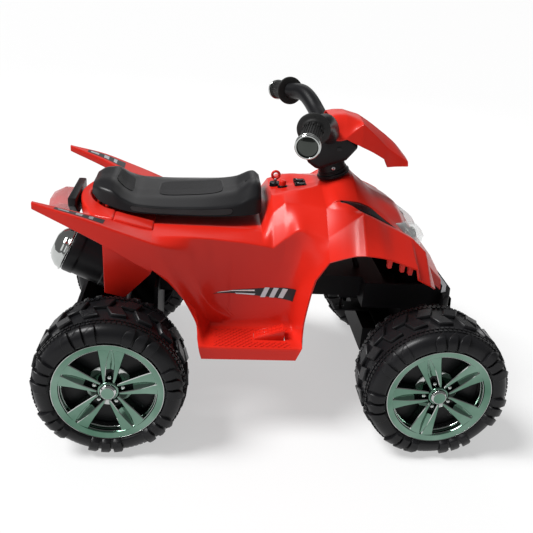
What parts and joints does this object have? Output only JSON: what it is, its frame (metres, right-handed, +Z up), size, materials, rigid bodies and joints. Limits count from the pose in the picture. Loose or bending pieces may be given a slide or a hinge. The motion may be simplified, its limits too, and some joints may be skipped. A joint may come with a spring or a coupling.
{
  "type": "kids quad bike",
  "caption": "Child's battery ride-on quad bike with moulded fenders, footrests, chunky wheels, straddle seat, steering handlebar and small dash switches.",
  "frame": {"origin": "on the ground below the middle of the wheelbase, on the centre plane", "axes": "+X forward along the bike, +Y to the rider's left, +Z up"},
  "size_m": [1.003, 0.684, 0.7126],
  "materials": {
    "red_body": "gloss",
    "black_trim": "satin",
    "black_frame": "matte",
    "black_grip": "matte",
    "seat_black": "satin",
    "tyre_black": "satin",
    "chrome": "mirror",
    "steel": "satin",
    "clear_lens": "gloss",
    "red_lens": "gloss"
  },
  "bodies": {
    "frame": {"chassis": "black_frame", "body_shell": "red_body", "front_cowl": "red_body", "front_fender_right": "red_body", "front_fender_left": "red_body", "cowl_strip_right": "black_trim", "cowl_strip_left": "black_trim", "rear_fender": "red_body", "seat_hinge_pin": "steel", "headlight_lens_right": "clear_lens", "headlight_lens_left": "clear_lens", "tail_light_bracket": "black_trim", "tail_light_lens": "red_lens", "muffler": "black_trim", "muffler_cap": "chrome", "battery": "black_frame", "front_bumper": "black_trim", "gear_motor_right": "black_frame", "gear_motor_left": "black_frame", "rear_axle": "steel", "rear_axle_nuts": "steel", "column_bush": "black_trim", "key_switch": "black_trim", "button_bezel": "black_trim", "rocker_housings": "black_trim", "pedal_pin": "steel", "pedal_switch": "black_trim"},
    "steering": {"steering_column": "steel", "steering_head": "black_trim", "stem_screw": "steel", "handlebar": "black_trim", "grip_right": "black_grip", "grip_left": "black_grip", "grip_cap_right": "chrome", "grip_cap_left": "chrome", "handlebar_pod": "red_body"},
    "tie_bar": {"tie_bar": "steel"},
    "seat": {"seat": "seat_black"},
    "pedal": {"foot_pedal": "red_body"},
    "key": {"key": "red_body"},
    "button": {"push_button": "red_body"},
    "rocker_left": {"rocker_left": "black_trim"},
    "rocker_right": {"rocker_right": "black_trim"},
    "knuckle_right": {"knuckle_right": "steel", "axle_nut_front_right": "steel"},
    "wheel_front_right": {"tyre_front_right": "tyre_black", "rim_front_right": "chrome", "hub_cap_front_right": "chrome"},
    "wheel_rear_right": {"tyre_rear_right": "tyre_black", "rim_rear_right": "chrome", "hub_cap_rear_right": "chrome"},
    "knuckle_left": {"knuckle_left": "steel", "axle_nut_front_left": "steel"},
    "wheel_front_left": {"tyre_front_left": "tyre_black", "rim_front_left": "chrome", "hub_cap_front_left": "chrome"},
    "wheel_rear_left": {"tyre_rear_left": "tyre_black", "rim_rear_left": "chrome", "hub_cap_rear_left": "chrome"}
  },
  "joints": [
    {"name": "steering_turn", "type": "hinge", "parent": "frame", "child": "steering", "pos_m": [0.132, 0, 0.53], "axis": [-0.342, 0, 0.9397], "range_deg": [-25, 25]},
    {"name": "knuckle_right_turn", "type": "hinge", "parent": "frame", "child": "knuckle_right", "pos_m": [0.3415, -0.165, 0.16], "axis": [0, 0, 1], "range_deg": [-20.2, 20.2]},
    {"name": "knuckle_left_turn", "type": "hinge", "parent": "frame", "child": "knuckle_left", "pos_m": [0.3415, 0.165, 0.16], "axis": [0, 0, 1], "range_deg": [-20.2, 20.2]},
    {"name": "tie_bar_pivot", "type": "hinge", "parent": "knuckle_right", "child": "tie_bar", "pos_m": [0.2665, -0.165, 0.1952], "axis": [0, 0, 1], "range_deg": [-20.2, 20.2]},
    {"name": "wheel_front_right_spin", "type": "hinge", "parent": "knuckle_right", "child": "wheel_front_right", "pos_m": [0.3415, -0.267, 0.16], "axis": [0, 1, 0], "continuous": true},
    {"name": "wheel_rear_right_spin", "type": "hinge", "parent": "frame", "child": "wheel_rear_right", "pos_m": [-0.3415, -0.267, 0.16], "axis": [0, 1, 0], "continuous": true},
    {"name": "wheel_front_left_spin", "type": "hinge", "parent": "knuckle_left", "child": "wheel_front_left", "pos_m": [0.3415, 0.267, 0.16], "axis": [0, 1, 0], "continuous": true},
    {"name": "wheel_rear_left_spin", "type": "hinge", "parent": "frame", "child": "wheel_rear_left", "pos_m": [-0.3415, 0.267, 0.16], "axis": [0, 1, 0], "continuous": true},
    {"name": "seat_lift", "type": "hinge", "parent": "frame", "child": "seat", "pos_m": [-0.385, 0, 0.46], "axis": [0, -1, 0], "range_deg": [0, 30]},
    {"name": "pedal_press", "type": "hinge", "parent": "frame", "child": "pedal", "pos_m": [-0.04, -0.206, 0.2135], "axis": [0, 1, 0], "range_deg": [0, 8], "stiffness_Nm_per_rad": 3, "springref_deg": -1.15},
    {"name": "key_turn", "type": "hinge", "parent": "frame", "child": "key", "pos_m": [0, 0.012, 0.5], "axis": [0, 0, -1], "range_deg": [0, 60]},
    {"name": "button_press", "type": "slide", "parent": "frame", "child": "button", "axis": [0, 0, -1], "range_m": [0, 0.003], "stiffness_N_per_m": 400, "springref_m": -0.001},
    {"name": "rocker_left_tilt", "type": "hinge", "parent": "frame", "child": "rocker_left", "pos_m": [0.055, 0.014, 0.509], "axis": [0, 1, 0], "range_deg": [-8, 8]},
    {"name": "rocker_right_tilt", "type": "hinge", "parent": "frame", "child": "rocker_right", "pos_m": [0.055, -0.014, 0.509], "axis": [0, 1, 0], "range_deg": [-8, 8]}
  ],
  "couplings": [
    {"joint": "knuckle_right_turn", "follows": "steering_turn", "ratio": 0.8},
    {"joint": "knuckle_left_turn", "follows": "steering_turn", "ratio": 0.8},
    {"joint": "tie_bar_pivot", "follows": "steering_turn", "ratio": -0.8}
  ]
}
